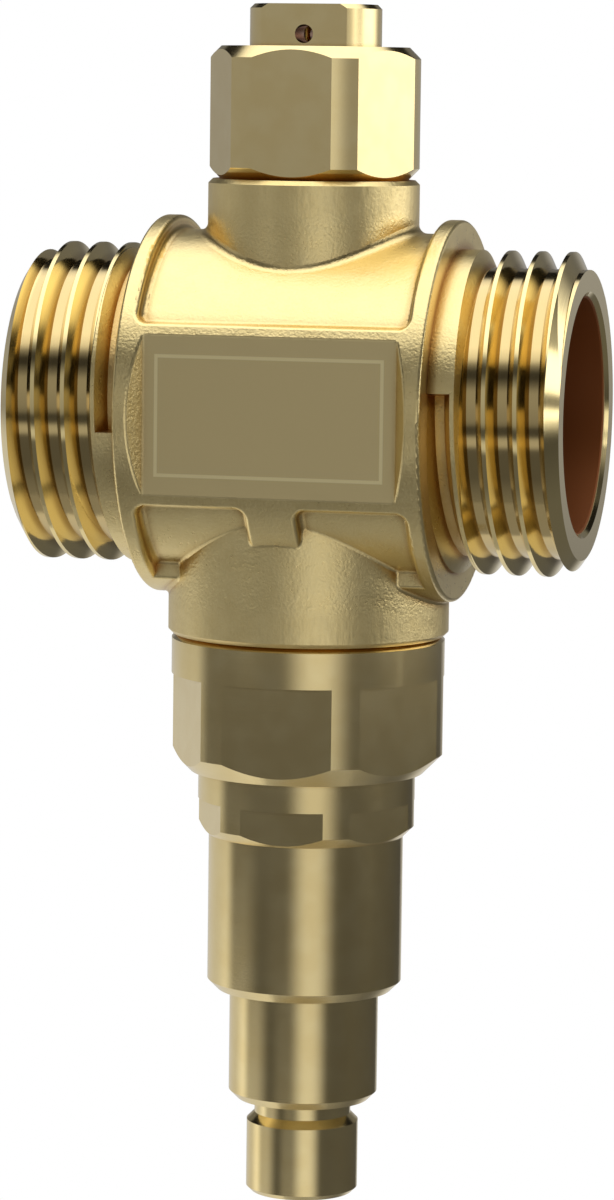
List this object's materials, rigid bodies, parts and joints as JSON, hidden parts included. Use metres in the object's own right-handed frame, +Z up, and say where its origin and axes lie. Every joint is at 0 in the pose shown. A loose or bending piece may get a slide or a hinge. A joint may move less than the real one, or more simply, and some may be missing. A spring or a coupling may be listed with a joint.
{
  "type": "anti-freeze drain valve",
  "caption": "Brass anti-freeze drain valve for a one inch pipe: threaded through body, air inlet bonnet on top and thermostatic drain cartridge below.",
  "frame": {"origin": "where the pipe axis crosses the stem axis", "axes": "+Z up along the stem, X along the pipe, the front of the casting faces -Y"},
  "size_m": [0.058, 0.0392, 0.124],
  "materials": {
    "cast_brass": "fine shot-blasted casting",
    "turned_brass": "fine turned",
    "seal_rubber": "smooth moulded",
    "moulded_plastic": "moulded acetal",
    "spring_steel": "drawn wire and ground steel",
    "copper_alloy": "drawn copper"
  },
  "bodies": {
    "valve": {"valve_body": "cast_brass", "air_inlet_bonnet": "turned_brass", "cartridge_holder": "turned_brass", "cartridge_body": "turned_brass", "drain_spout": "turned_brass", "bonnet_seal": "seal_rubber", "holder_seal": "seal_rubber", "cartridge_seal": "seal_rubber", "spout_seal": "seal_rubber", "air_guide": "moulded_plastic", "air_guide_clip": "spring_steel", "air_spring": "spring_steel", "return_spring": "spring_steel", "overtravel_spring": "spring_steel", "carrier_stop_ring": "spring_steel", "thermostat_capsule": "copper_alloy", "capsule_carrier": "turned_brass"},
    "drain_shutter_body": {"drain_shutter": "turned_brass", "shutter_seal": "seal_rubber", "thermostat_piston": "spring_steel"},
    "air_plunger_body": {"air_plunger": "moulded_plastic", "air_plunger_seal": "seal_rubber"}
  },
  "joints": [
    {"name": "drain_slide", "type": "slide", "parent": "valve", "child": "drain_shutter_body", "axis": [0, 0, 1], "range_m": [0, 0.0025], "deforming": ["return_spring"]},
    {"name": "air_slide", "type": "slide", "parent": "valve", "child": "air_plunger_body", "axis": [0, 0, -1], "range_m": [0, 0.0018], "stiffness_N_per_m": 60, "springref_m": -0.004, "deforming": ["air_spring"]}
  ]
}
